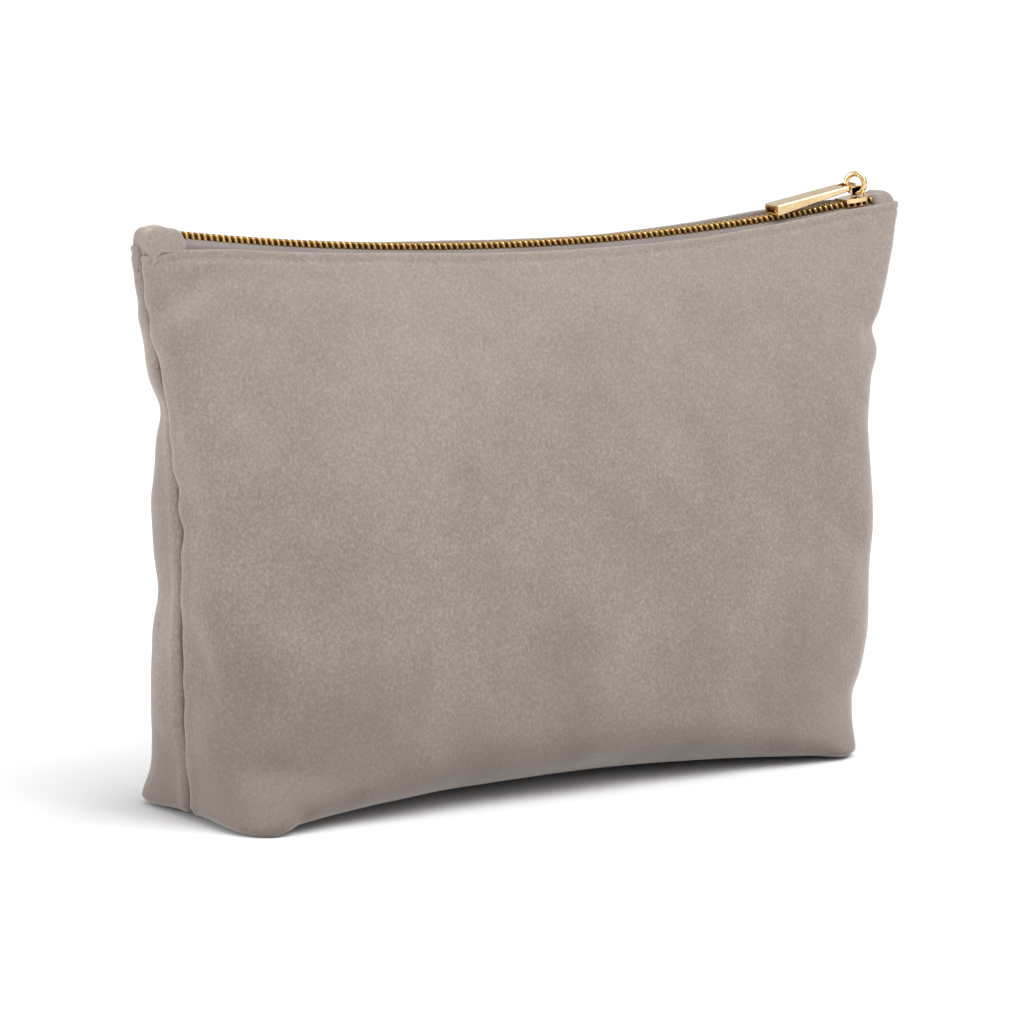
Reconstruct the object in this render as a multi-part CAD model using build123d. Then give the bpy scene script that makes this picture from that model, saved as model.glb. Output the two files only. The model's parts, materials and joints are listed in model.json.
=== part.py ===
"""A zippered pouch with a flat boxed base, in velvet, with a metal zip along its top edge.

Frame: X runs along the zip and the slider stands near +X when the pouch is closed, Y runs from the
front panel to the back panel, Z is up. The origin is the middle of the box's base. Millimetres.
"""

from build123d import *
from math import cos, degrees, radians, sin
import os

# The bag
TOP_LENGTH = 300.0
BASE_LENGTH = 235.0
BASE_DEPTH = 80.0
BASE_SHIFT = -9.0  # the base stands a little towards the open end of the zip
CHAIN_MIDDLE_HEIGHT = 178.6  # middle of the zip chain, at its lowest place
ARC_RADIUS = 1058.0  # the top edge sags along this arc, whose centre is above the bag
ARC_MIDDLE = 14.0  # X of the arc's lowest place
SLOT_HALF_DEPTH = 7.1  # from the zip's middle to the outside of a folded edge
VELVET = 1.4
LINING = 0.6
LAYER_GAP = 0.1
CLOTH = VELVET + LAYER_GAP + LINING
FOLD_BELOW_CHAIN = 1.2
LINING_BELOW_CHAIN = 11.0

# The zip
CHAIN_HALF_LENGTH = 141.5
TOOTH_PITCH = 2.29
TOOTH_LENGTH = 1.08
TOOTH_HALF_HEIGHT = 1.15
TOOTH_REACH = 0.9  # how far a tooth's head passes the middle of the chain
CHAIN_HALF_WIDTH = 2.5
TEETH_PER_ROW = 121
TAPE_THICKNESS = 0.6
TAPE_EDGE = 1.1
TAPE_LEG = 5.25  # the tape turns down here, behind the folded edge
TAPE_LEG_DEPTH = 10.0
STOP_LENGTH = 2.4
TAB_HEIGHT = 7.5
TAB_ROUND = 1.5
TAB_FROM_CHAIN = 1.7
TAB_FROM_END = 2.0
TAB_SIDE_GAP = 0.2
TAB_STITCH_FROM_CHAIN = 3.6
TAB_ABOVE_CHAIN = 2.1

# The slider, the ring and the pull. t runs along the chain and h stands up from its middle.
SLIDER_PLACE = 131.76
SLIDER_HALF_LENGTH = 5.2
SLIDER_NOSE = 4.55
SLIDER_TAIL = 3.5
PLATE_INSIDE = 1.35
PLATE_OUTSIDE = 2.0
FLANGE_SLOT = 0.6
ROW_SPREAD = 1.5  # how far the diamond pushes each row aside
DIAMOND_HALF_WIDTH = 0.45
RING_RADIUS = 3.3
RING_WIRE = 1.0
RING_TURN = -58.0
RING_LEAN = 8.0
PULL_HANG = 18.0  # the pull holds the ring this far below its widest place
RING_UNDER_BRIDGE = 2.05
RING_CLEARANCE = 0.12
BRIDGE_START = -0.7
BRIDGE_END = 5.2
BRIDGE_WIDTH = 0.9
BRIDGE_THICKNESS = 0.7
PULL_LENGTH = 34.5
PULL_WIDTH = 6.8
PULL_THICK_END = 3.7
PULL_THIN_END = 1.7
PULL_EYE_LENGTH = 4.8
PULL_EYE_WIDTH = 4.8
PULL_EYE_WALL = 0.85
PULL_SLOT = (5.2, 3.9)
PULL_SLACK = 0.75
PULL_ASIDE = 0.0
PULL_YAW = 8.0
PULL_PITCH = -2.75
PULL_ROLL = 4.0

# Thread
THREAD = 0.5
STITCH = 2.6
STITCH_PITCH = 3.1
STITCH_BELOW_FOLD = 2.6
THREAD_GAP = 0.05
PANEL_THREAD_GAP = 0.12
STITCH_SHARE = 0.8  # how much of each step along a seam its stitch fills

ARC_CENTRE = Vector(ARC_MIDDLE, 0, CHAIN_MIDDLE_HEIGHT + ARC_RADIUS)
ARC_AXIS = Axis((ARC_MIDDLE, 0, ARC_CENTRE.Z), (0, 1, 0))

# Height, middle X, half length at the side seam, half depth in the middle, half depth at the ends
OUTER_LEVELS = [
    (0.0, BASE_SHIFT, 115.5, 38.0, 35.0),
    (3.0, BASE_SHIFT, BASE_LENGTH / 2, BASE_DEPTH / 2, 37.0),
    (22.0, -9.5, 128.0, 40.5, 31.0),
    (55.0, -7.0, 130.5, 38.0, 24.0),
    (95.0, -3.0, 133.5, 33.0, 17.0),
    (135.0, -1.5, 138.5, 24.5, 11.0),
    (160.0, -0.5, 145.0, 16.5, 8.5),
    (176.0, 0.0, 148.5, 9.4, 7.6),
    (186.0, 0.0, TOP_LENGTH / 2, SLOT_HALF_DEPTH, SLOT_HALF_DEPTH),
    (200.0, 0.0, TOP_LENGTH / 2, SLOT_HALF_DEPTH, SLOT_HALF_DEPTH),
]


def on_arc(shape, place):
    """Moves a shape, built round X = 0 at the chain's lowest height, to a place on the chain's arc."""
    lowest = shape.moved(Location((ARC_MIDDLE, 0, 0)))
    return lowest.rotate(ARC_AXIS, -degrees((place - ARC_MIDDLE) / ARC_RADIUS))


def chain_height(place):
    """Height of the middle of the chain at a place."""
    return CHAIN_MIDDLE_HEIGHT + (place - ARC_MIDDLE) ** 2 / (2 * ARC_RADIUS)


def level_face(height, middle, half_length, half_depth, end_depth):
    """One horizontal section of the bag: bowed front and back edges joined by bowed ends."""
    end_bow = min(6.0, end_depth * 0.25)
    seam = half_length - end_bow
    with BuildSketch(Plane.XY.offset(height)) as face:
        with BuildLine():
            left = middle - seam
            right = middle + seam
            ThreePointArc((left, -end_depth), (middle, -half_depth - 0.01), (right, -end_depth))
            ThreePointArc((right, -end_depth), (middle + half_length, 0), (right, end_depth))
            ThreePointArc((right, end_depth), (middle, half_depth + 0.01), (left, end_depth))
            ThreePointArc((left, end_depth), (middle - half_length, 0), (left, -end_depth))
        make_face()
    return face.sketch.face()


def bag_block(inset):
    """The bag's outer shape as one block, with every wall moved in by inset."""
    faces = []
    for height, middle, half_length, half_depth, end_depth in OUTER_LEVELS:
        level = inset if height == 0 else height + inset * (height < 5)
        depths = (half_depth - inset, end_depth - inset)
        faces.append(level_face(level, middle, half_length - inset, *depths))
    return Solid(loft(faces).wrapped)


def above_arc(drop):
    """Everything higher than an arc that runs drop below the chain."""
    disc = Cylinder(ARC_RADIUS + drop, BASE_DEPTH * 2, rotation=(90, 0, 0))
    return disc.moved(Location(ARC_CENTRE))


def half_space(side):
    """A block that holds one half of the bag: side is -1 for the front and 1 for the back."""
    size = (TOP_LENGTH * 2, BASE_DEPTH, CHAIN_MIDDLE_HEIGHT * 2)
    return Box(*size).moved(Location((0, side * BASE_DEPTH / 2, CHAIN_MIDDLE_HEIGHT)))


def layer(outside, thickness, drop, side):
    """One half of a closed layer of cloth, cut off below the zip."""
    shell = bag_block(outside) - bag_block(outside + thickness)
    return (shell - above_arc(drop)) & half_space(side)


def row_shift(place):
    """How far a row stands aside from the middle: the diamond parts the rows past the slider's tail."""
    start = SLIDER_PLACE - SLIDER_HALF_LENGTH
    full = SLIDER_PLACE + 1.0
    share = min(1.0, max(0.0, (place - start) / (full - start)))
    return ROW_SPREAD * share * share * (3 - 2 * share)


def tooth(side):
    """A tooth in the middle of the chain: a head, and two legs that grip the tape's edge."""
    grip = TAPE_THICKNESS / 2 + 0.08
    with BuildPart() as made:
        with BuildSketch(Plane.YZ.offset(-TOOTH_LENGTH / 2)):
            with BuildLine():
                Polyline(
                    (TOOTH_REACH - 0.35, -TOOTH_HALF_HEIGHT),
                    (TOOTH_REACH, -0.5),
                    (TOOTH_REACH, 0.5),
                    (TOOTH_REACH - 0.35, TOOTH_HALF_HEIGHT),
                    (0.4 - CHAIN_HALF_WIDTH, TOOTH_HALF_HEIGHT),
                    (-CHAIN_HALF_WIDTH, 0.9),
                    (-CHAIN_HALF_WIDTH, grip),
                    (0.1 - TAPE_EDGE, grip),
                    (0.1 - TAPE_EDGE, -grip),
                    (-CHAIN_HALF_WIDTH, -grip),
                    (-CHAIN_HALF_WIDTH, -0.9),
                    (0.4 - CHAIN_HALF_WIDTH, -TOOTH_HALF_HEIGHT),
                    close=True,
                )
            make_face()
        extrude(amount=TOOTH_LENGTH)
    shape = made.part if side < 0 else made.part.mirror(Plane.XZ)
    return shape.moved(Location((0, 0, CHAIN_MIDDLE_HEIGHT)))


def teeth(side):
    """One row of teeth. The back row stands half a pitch along, so that the rows mesh."""
    one = tooth(side)
    first = -(TEETH_PER_ROW - 0.5) / 2 * TOOTH_PITCH
    offset = 0 if side < 0 else TOOTH_PITCH / 2
    row = []
    for number in range(TEETH_PER_ROW):
        place = first + offset + number * TOOTH_PITCH
        row.append(on_arc(one.moved(Location((0, side * row_shift(place), 0))), place))
    return Compound(children=row)


def arc_strip(near, far, low, high):
    """A strip that follows the chain, between two Y values and two heights above the chain."""
    with BuildSketch(Plane.YZ.offset(ARC_MIDDLE)) as section:
        middle = ((near + far) / 2, CHAIN_MIDDLE_HEIGHT + (low + high) / 2)
        with Locations(middle):
            Rectangle(abs(far - near), high - low)
    swept = revolve(section.sketch, ARC_AXIS, 2 * degrees(CHAIN_HALF_LENGTH / ARC_RADIUS))
    return swept.rotate(ARC_AXIS, -degrees((CHAIN_HALF_LENGTH - ARC_MIDDLE) / ARC_RADIUS))


def tape(side):
    """One half of the zip tape: a flat part beside the chain and a leg behind the folded edge."""
    half = TAPE_THICKNESS / 2
    flat = arc_strip(side * TAPE_EDGE, side * (TAPE_LEG + half), -half, half)
    leg = arc_strip(side * (TAPE_LEG - half), side * (TAPE_LEG + half), -TAPE_LEG_DEPTH, half)
    places = [SLIDER_PLACE - SLIDER_HALF_LENGTH + step * 1.1 for step in range(7)]
    edge = [(place, side * (TAPE_EDGE + 0.08 + row_shift(place))) for place in places]
    end = CHAIN_HALF_LENGTH + 5
    with BuildPart() as parting:
        with BuildSketch(Plane.XY.offset(CHAIN_MIDDLE_HEIGHT)):
            with BuildLine():
                Polyline((places[0], 0), *edge, (end, edge[-1][1]), (end, 0), close=True)
            make_face()
        extrude(amount=30)
    return flat + leg - parting.part


def stop(side, place):
    """A metal stop clamped round the tape's edge, beside the end of a row of teeth."""
    middle = side * (TAPE_EDGE + 0.9 + row_shift(place))
    block = Box(STOP_LENGTH, 2.6, 2 * TOOTH_HALF_HEIGHT)
    block = fillet(block.edges().filter_by(Axis.Z), 0.4)
    block = block.moved(Location((0, middle, CHAIN_MIDDLE_HEIGHT)))
    grip = arc_strip(side * (middle * side - 0.9), side * 9, -0.35, 0.35)
    return on_arc(block, place) - grip


def bottom_stop():
    """The block that holds both rows together at the open end of the zip."""
    place = -CHAIN_HALF_LENGTH + STOP_LENGTH / 2 - 0.4
    block = Box(STOP_LENGTH, 2 * CHAIN_HALF_WIDTH, 2 * TOOTH_HALF_HEIGHT)
    block = fillet(block.edges().filter_by(Axis.Z), 0.5)
    block = on_arc(block.moved(Location((0, 0, CHAIN_MIDDLE_HEIGHT))), place)
    for side in (-1, 1):
        block = block - arc_strip(side * 0.5, side * 9, -0.35, 0.35)
    return block


def slider_outline(grow, low, high):
    """The slider's plan, as a slab: a square tail that widens to a rounded nose."""
    tail = SLIDER_TAIL + grow
    nose = SLIDER_NOSE + grow
    length = SLIDER_HALF_LENGTH
    with BuildPart() as slab:
        with BuildSketch(Plane.XY.offset(low)):
            with BuildLine():
                Polyline((1.2, nose), (-1.0, nose - 0.1), (-length, tail), (-length, -tail))
                Polyline((-length, -tail), (-1.0, 0.1 - nose), (1.2, -nose))
                Spline((1.2, -nose), (length - 1.4, 0.9 - nose), (length, 0), (length - 1.4, nose - 0.9),
                       (1.2, nose), tangents=[(1, 0), (-1, 0)])
            make_face()
        extrude(amount=high - low)
    return slab.part


def slider_channel(side):
    """The way of one row through the slider, between the flanges."""
    steps = [-SLIDER_HALF_LENGTH - 1 + n * 1.05 for n in range(8)] + [SLIDER_HALF_LENGTH + 1]
    reach = CHAIN_HALF_WIDTH + 0.25
    edge = [(t, side * (reach + row_shift(SLIDER_PLACE + t))) for t in steps]
    with BuildPart() as way:
        with BuildSketch(Plane.XY.offset(-PLATE_INSIDE)):
            with BuildLine():
                Polyline((steps[0], 0), *edge, (steps[-1], 0), close=True)
            make_face()
        extrude(amount=2 * PLATE_INSIDE)
    return way.part


def slider_body():
    """Two plates joined by a diamond at the nose, with flanges that keep the rows in."""
    top = slider_outline(0, PLATE_INSIDE, PLATE_OUTSIDE)
    bottom = slider_outline(0, -PLATE_OUTSIDE, -PLATE_INSIDE)
    height = PLATE_INSIDE - FLANGE_SLOT
    rims = slider_outline(0, FLANGE_SLOT, PLATE_INSIDE) + slider_outline(0, -PLATE_INSIDE, -FLANGE_SLOT)
    rims = rims - slider_channel(-1) - slider_channel(1)
    nose_cut = Box(6, 20, 2 * height + 4 * FLANGE_SLOT).moved(Location((SLIDER_HALF_LENGTH + 1.6, 0, 0)))
    diamond = Box(2.6, 2 * DIAMOND_HALF_WIDTH, 2 * PLATE_INSIDE).moved(Location((2.6, 0, 0)))
    return in_slider_frame(top + bottom + (rims - nose_cut) + diamond)


def in_slider_frame(shape):
    """Moves a shape from the slider's own t, y, h axes to its place on the chain."""
    return on_arc(shape.moved(Location((0, 0, CHAIN_MIDDLE_HEIGHT))), SLIDER_PLACE)


def slider_bridge():
    """The loop on top of the slider that holds the ring."""
    under = PLATE_OUTSIDE + 2 * RING_WIRE + 3 * RING_CLEARANCE + 0.6
    top = under + BRIDGE_THICKNESS
    with BuildPart() as loop:
        with BuildSketch(Plane.XZ.offset(-BRIDGE_WIDTH / 2)):
            with BuildLine():
                Polyline(
                    (BRIDGE_START, PLATE_OUTSIDE),
                    (BRIDGE_START, top - 0.9),
                    (BRIDGE_START + 0.6, top),
                    (BRIDGE_END - 1.2, top),
                    (BRIDGE_END, top - 1.4),
                    (BRIDGE_END, PLATE_OUTSIDE),
                    close=True,
                )
            make_face()
            with BuildLine():
                inside = BRIDGE_THICKNESS * 0.55
                Polyline(
                    (BRIDGE_START + inside, PLATE_OUTSIDE),
                    (BRIDGE_START + inside, under),
                    (BRIDGE_END - BRIDGE_THICKNESS - 0.6, under),
                    (BRIDGE_END - BRIDGE_THICKNESS, under - 0.8),
                    (BRIDGE_END - BRIDGE_THICKNESS, PLATE_OUTSIDE),
                    close=True,
                )
            make_face(mode=Mode.SUBTRACT)
        extrude(amount=BRIDGE_WIDTH)
    return in_slider_frame(loop.part)


def ring_frame():
    """The ring's own axes: its middle, the way across it and the way through it."""
    turn = radians(RING_TURN)
    lean = radians(RING_LEAN)
    across = Vector(cos(turn), sin(turn), 0)
    through = Vector(-sin(turn), cos(turn), 0)
    height = PLATE_OUTSIDE + RING_CLEARANCE + RING_WIRE + RING_RADIUS
    middle = Vector(RING_UNDER_BRIDGE, 0, height) - across * (RING_RADIUS * sin(lean))
    return middle, across, through


def pull_ring():
    """The round ring that links the bridge and the pull."""
    middle, across, through = ring_frame()
    plane = Plane(origin=middle, x_dir=across, z_dir=through)
    ring = plane * Torus(RING_RADIUS, RING_WIRE)
    return in_slider_frame(ring)


def pull_bar():
    """The pull: a wedge-shaped bar, hollow at its thick end, with an eye for the ring at its thin end.

    Its eye's end stands at X = 0 and the bar runs towards -X.
    """
    shoulder = -PULL_EYE_LENGTH
    free = shoulder - PULL_LENGTH
    with BuildPart() as bar:
        with BuildSketch(Plane.XZ.offset(-PULL_WIDTH / 2)):
            with BuildLine():
                Polyline(
                    (shoulder, -PULL_THIN_END / 2),
                    (shoulder, PULL_THIN_END / 2),
                    (free, PULL_THICK_END / 2),
                    (free, -PULL_THICK_END / 2),
                    close=True,
                )
            make_face()
        extrude(amount=PULL_WIDTH)
        chamfer(bar.edges(), 0.3)
    eye = Box(PULL_EYE_LENGTH + 1.5, PULL_EYE_WIDTH, PULL_THIN_END)
    eye = fillet(eye.edges().filter_by(Axis.Z), 1.2)
    eye = eye.moved(Location(((1.5 + PULL_EYE_LENGTH) / -2, 0, 0)))
    slot = RectangleRounded(PULL_SLOT[0], PULL_SLOT[1], 0.3)
    cut = extrude(Plane.XY.offset(-PULL_THICK_END) * slot, 2 * PULL_THICK_END)
    cut = cut.moved(Location((-PULL_EYE_WALL - PULL_SLOT[0] / 2, 0, 0)))
    hollow = Box(9, PULL_WIDTH * 0.55, PULL_THICK_END * 0.5)
    hollow = hollow.moved(Location((free, PULL_WIDTH * 0.06, 0)))
    return bar.part + eye - cut - hollow


def placed_pull():
    """The pull hung on the ring, lying back along the chain."""
    middle, across, _ = ring_frame()
    hang = radians(PULL_HANG)
    wire = middle - across * (RING_RADIUS * cos(hang)) - Vector(0, 0, RING_RADIUS * sin(hang))
    shape = pull_bar().moved(Location((PULL_EYE_WALL + RING_WIRE + PULL_SLACK, PULL_ASIDE, 0)))
    shape = shape.rotate(Axis.X, PULL_ROLL).rotate(Axis.Y, PULL_PITCH).rotate(Axis.Z, PULL_YAW)
    return in_slider_frame(shape.moved(Location(wire)))


def end_tab(end):
    """A folded tab of velvet that closes the slot past the end of the zip."""
    inner = CHAIN_HALF_LENGTH + TAB_FROM_CHAIN
    outer = TOP_LENGTH / 2 - VELVET - TAB_FROM_END
    length = outer - inner
    depth = 2 * (SLOT_HALF_DEPTH - VELVET - TAB_SIDE_GAP)
    block = Box(length, depth, TAB_HEIGHT)
    block = fillet(block.edges().group_by(Axis.Z)[-1], TAB_ROUND)
    place = end * (inner + outer) / 2
    return block.moved(Location((place, 0, chain_height(place) + TAB_ABOVE_CHAIN - TAB_HEIGHT / 2)))


def stitch(length, axis_dir, place):
    """One stitch: a short length of thread."""
    plane = Plane(origin=place - axis_dir * (length / 2), z_dir=axis_dir)
    return plane * Cylinder(THREAD / 2, length, align=(Align.CENTER, Align.CENTER, Align.MIN))


def topstitch(side):
    """The row of stitches that holds a folded edge to the tape."""
    row = []
    count = int(2 * (CHAIN_HALF_LENGTH - 4) / STITCH_PITCH)
    shape = stitch(STITCH, Vector(1, 0, 0), Vector(0, 0, 0))
    drop = FOLD_BELOW_CHAIN + STITCH_BELOW_FOLD
    for number in range(count):
        place = (number - (count - 1) / 2) * STITCH_PITCH
        out = panel_half_depth(place, drop) + THREAD / 2 + PANEL_THREAD_GAP
        moved = shape.moved(Location((0, side * out, CHAIN_MIDDLE_HEIGHT - drop)))
        row.append(on_arc(moved, place))
    return Compound(children=row)


def panel_half_depth(place, drop):
    """How far the outside of a panel stands from the zip, at a place just below the folded edge."""
    height = chain_height(place) - drop
    block = OUTSIDE.intersect(Edge.make_line((place, 0, height), (place, -60, height)))
    return max(abs(vertex.Y) for vertex in block.vertices())


def tab_stitch(end):
    """The stitches across an end tab, beside the end of the zip."""
    place = end * (CHAIN_HALF_LENGTH + TAB_STITCH_FROM_CHAIN)
    height = chain_height(place) + TAB_ABOVE_CHAIN + THREAD / 2 + THREAD_GAP
    row = []
    for number in range(3):
        y = (number - 1) * STITCH_PITCH
        row.append(stitch(STITCH * STITCH_SHARE, Vector(0, 1, 0), Vector(place, y, height)))
    return Compound(children=row)


def seam_threads(points):
    """Thread along a seam: one stitch on each step between the points."""
    row = []
    for start, end in zip(points[:-1], points[1:]):
        step = end - start
        row.append(stitch(step.length * STITCH_SHARE, step.normalized(), (start + end) * 0.5))
    return Compound(children=row)


def seam_end(height, end, inset):
    """The place of the side seam at a height, on the inside of the velvet."""
    levels = OUTER_LEVELS
    for low, high in zip(levels[:-1], levels[1:]):
        if low[0] <= height <= high[0]:
            share = (height - low[0]) / (high[0] - low[0])
            middle = low[1] + share * (high[1] - low[1])
            half = low[2] + share * (high[2] - low[2])
            return Vector(middle + end * (half - inset), 0, height)
    return Vector(end * (TOP_LENGTH / 2 - inset), 0, height)


def side_seam(end):
    """The seam inside one end of the bag, where the front and back panels meet."""
    inset = CLOTH + 3.0
    heights = [8 + 4.4 * number for number in range(36)]
    return seam_threads([seam_end(height, end, inset) for height in heights])


def base_seam():
    """The seam along the middle of the base, inside."""
    height = CLOTH + 0.6
    half = BASE_LENGTH / 2 - 12
    count = 44
    xs = [BASE_SHIFT - half + 2 * half * number / count for number in range(count + 1)]
    return seam_threads([Vector(x, 0, height) for x in xs])


def corner_seam(end):
    """The short seam across one end of the base, which boxes its two corners."""
    inset = CLOTH + 7.0
    x = BASE_SHIFT + end * (BASE_LENGTH / 2 - inset)
    height = CLOTH + 1.2
    half = BASE_DEPTH / 2 - 12
    count = 12
    return seam_threads([Vector(x, -half + 2 * half * n / count, height) for n in range(count + 1)])


def save(name, shape):
    solids = shape.solids()
    whole = solids[0] if len(solids) == 1 else Compound(children=solids)
    export_step(whole, f"parts/{name}.step")


os.makedirs("parts", exist_ok=True)
OUTSIDE = bag_block(0)
LINING_OUTSIDE = VELVET + LAYER_GAP
TOP_STOP_PLACE = CHAIN_HALF_LENGTH - STOP_LENGTH / 2 + 0.6
for name, side in (("front", -1), ("back", 1)):
    save(f"{name}_panel", layer(0, VELVET, FOLD_BELOW_CHAIN, side))
    save(f"{name}_lining", layer(LINING_OUTSIDE, LINING, LINING_BELOW_CHAIN, side))
    save(f"{name}_zip_tape", tape(side))
    save(f"{name}_teeth", teeth(side))
    save(f"{name}_top_stop", stop(side, TOP_STOP_PLACE))
    save(f"{name}_topstitch", topstitch(side))
for name, end in (("left", -1), ("right", 1)):
    save(f"{name}_end_tab", end_tab(end))
    save(f"{name}_tab_stitch", tab_stitch(end))
    save(f"{name}_side_seam", side_seam(end))
    save(f"{name}_corner_seam", corner_seam(end))
save("base_seam", base_seam())
save("bottom_stop", bottom_stop())
save("slider_body", slider_body())
save("slider_bridge", slider_bridge())
save("pull_ring", pull_ring())
save("pull_bar", placed_pull())
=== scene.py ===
"""The looks of the zippered pouch: velvet panels, lining, zip, slider, ring and pull, with a studio.

Lengths are worked out in millimetres and turned into metres when a mesh is made.
"""

import bmesh
import bpy
import json
import math
import numpy as np
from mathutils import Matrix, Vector


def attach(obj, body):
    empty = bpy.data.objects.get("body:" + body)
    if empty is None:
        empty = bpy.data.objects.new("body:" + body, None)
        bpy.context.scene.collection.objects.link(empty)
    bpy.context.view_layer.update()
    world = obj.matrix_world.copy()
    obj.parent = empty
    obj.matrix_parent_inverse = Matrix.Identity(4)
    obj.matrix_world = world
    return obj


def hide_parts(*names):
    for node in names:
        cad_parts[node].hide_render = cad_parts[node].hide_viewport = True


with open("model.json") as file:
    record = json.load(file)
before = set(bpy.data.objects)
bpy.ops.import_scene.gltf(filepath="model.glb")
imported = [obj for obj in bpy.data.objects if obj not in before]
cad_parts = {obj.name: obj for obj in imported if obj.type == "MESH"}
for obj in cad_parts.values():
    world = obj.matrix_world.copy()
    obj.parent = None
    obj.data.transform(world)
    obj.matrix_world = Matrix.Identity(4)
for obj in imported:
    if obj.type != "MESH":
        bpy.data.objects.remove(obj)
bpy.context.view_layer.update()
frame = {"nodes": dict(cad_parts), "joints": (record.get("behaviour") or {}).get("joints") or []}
NODES = frame["nodes"]
JOINTS = {joint["name"]: joint for joint in frame["joints"]}
MM = 0.001

# The zip's arc, as in the CAD
ARC_MIDDLE = JOINTS["zip_travel"]["pos_m"][0] / MM
ARC_CENTRE_HEIGHT = JOINTS["zip_travel"]["pos_m"][2] / MM
CHAIN_MIDDLE_HEIGHT = 178.6
ARC_RADIUS = ARC_CENTRE_HEIGHT - CHAIN_MIDDLE_HEIGHT
CHAIN_HALF_LENGTH = 141.5
TOOTH_PITCH = 2.29
TEETH_PER_ROW = 121
TOOTH_LEAN = -0.32
SLIDER_PLACE = 131.76
SLIDER_HALF_LENGTH = 5.2
ROW_SPREAD = 1.5
TAPE_EDGE = 1.1
TAPE_BELOW = 0.8  # the tape's top lies this far below the chain's middle
TAPE_SHEET = 0.55
STITCH_PITCH = 3.1
STITCH_BELOW_FOLD = 2.8
STITCH_SINK = 0.10
TAB_SHEET = 0.9
TAB_STITCH_STEP = 2.6
LINING_INSET = 2.6
LINING_BELOW_CHAIN = 11.0
LINING_RISE = 1.9
LINING_SHEET = 0.35
RING_RADIUS = 3.3
RING_WIRE = 1.0

# The bag's horizontal sections: height, middle X, half length, half depth, squareness
SECTIONS = [
    (0.0, -12.2, 123.4, 41.4, 10.0),
    (4.0, -12.0, 123.4, 41.2, 8.5),
    (12.0, -9.9, 125.6, 40.2, 5.0),
    (24.0, -7.2, 129.6, 39.8, 4.0),
    (38.0, -5.9, 131.7, 39.4, 4.0),
    (55.0, -6.1, 131.7, 38.0, 4.6),
    (75.0, -5.7, 131.9, 35.6, 5.0),
    (95.0, -5.7, 131.3, 32.6, 5.4),
    (120.0, -5.2, 135.2, 27.4, 4.4),
    (135.0, -3.9, 138.8, 23.8, 3.8),
    (150.0, -4.0, 142.0, 19.0, 4.4),
    (162.0, -3.4, 145.4, 15.2, 5.0),
    (176.0, -2.4, 148.6, 9.8, 6.5),
    (190.0, -1.8, 149.8, 7.4, 8.0),
    (205.0, -1.8, 149.8, 7.4, 8.0),
]
BASE_ROUND = 1.6
BASE_ROLL = 25.0  # how far the long lower edges roll under, in their middle
BASE_LIFT = 3.6
END_LIFT = 2.2
SEAM_ROUND = 2.0
SEAM_GAP = 0.12
FOLD_ROUND = 0.85
VELVET = 0.8

# Soft creases and swellings: side, one end, other end, width, height
CREASES = [
    (-1, (-148, -5, 165), (-133, -12, 177), 3.6, -1.7),
    (-1, (-147, -7, 158), (-126, -14, 171), 5.0, 1.1),
    (-1, (-112, -14, 171), (-60, -14, 170), 9.0, 0.6),
    (-1, (-134, -30, 21), (-113, -40, 19), 4.5, -2.0),
    (-1, (-126, -37, 10), (-112, -40, 10), 6.0, 1.2),
    (-1, (-139, -10, 60), (-137, -16, 46), 7.0, -1.4),
    (-1, (-137, -12, 104), (-134, -20, 92), 8.0, -1.0),
    (-1, (-134, -18, 128), (-122, -26, 116), 10.0, 0.9),
    (-1, (140, -5, 143), (128, -17, 142), 4.5, -2.0),
    (-1, (138, -8, 134), (127, -20, 134), 5.0, 0.9),
    (-1, (126, -20, 20), (106, -37, 19), 4.5, -1.0),
    (-1, (-127, -37, 0), (-123, -40, 4), 5.0, 1.6),
    (-1, (120, -20, 64), (118, -30, 60), 8.0, -0.7),
    (-1, (-70, -38, 30), (40, -38, 24), 11.0, 0.5),
    (-1, (60, -30, 96), (104, -24, 120), 14.0, 0.6),
    (-1, (-40, -30, 96), (-92, -26, 122), 16.0, -0.6),
    (1, (-143, 6, 131), (-128, 22, 136), 8.0, -2.4),
    (1, (-139, 14, 72), (-128, 30, 74), 9.0, -1.8),
    (1, (-138, 10, 100), (-130, 24, 104), 9.0, 0.9),
    (1, (-137, 12, 34), (-126, 34, 30), 10.0, 0.8),
    (1, (-147, 5, 168), (-132, 11, 174), 4.5, -1.2),
    (1, (-70, 30, 110), (-10, 31, 96), 18.0, -0.8),
    (1, (30, 26, 122), (92, 24, 116), 16.0, 0.8),
    (1, (118, 16, 140), (136, 8, 146), 6.0, -1.6),
    (1, (106, 37, 21), (124, 22, 22), 5.0, -1.6),
    (1, (-60, 40, 24), (50, 40, 26), 12.0, 0.6),
]


def chain_height(x):
    """Height of the middle of the chain at X."""
    return ARC_CENTRE_HEIGHT - np.sqrt(ARC_RADIUS**2 - (np.asarray(x, float) - ARC_MIDDLE) ** 2)


def fold_drop(x, side):
    """How far the folded edge's top lies below the chain's middle."""
    if side < 0:
        return np.interp(x, [-152, -147, -139, -122, -104, -86, -62, 0, 62, 91, 124, 143, 150],
                         [8.0, 6.4, 4.2, 2.6, 2.3, 1.9, 1.3, 1.6, 1.7, 0.9, 0.5, 1.3, 2.0])
    return np.interp(x, [-152, -140, -116, -80, -30, 30, 70, 94, 125, 143, 150],
                     [5.0, 2.6, 0.4, -0.5, -1.3, -0.5, -1.2, -2.0, -1.4, 0.6, 2.0])


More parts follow.
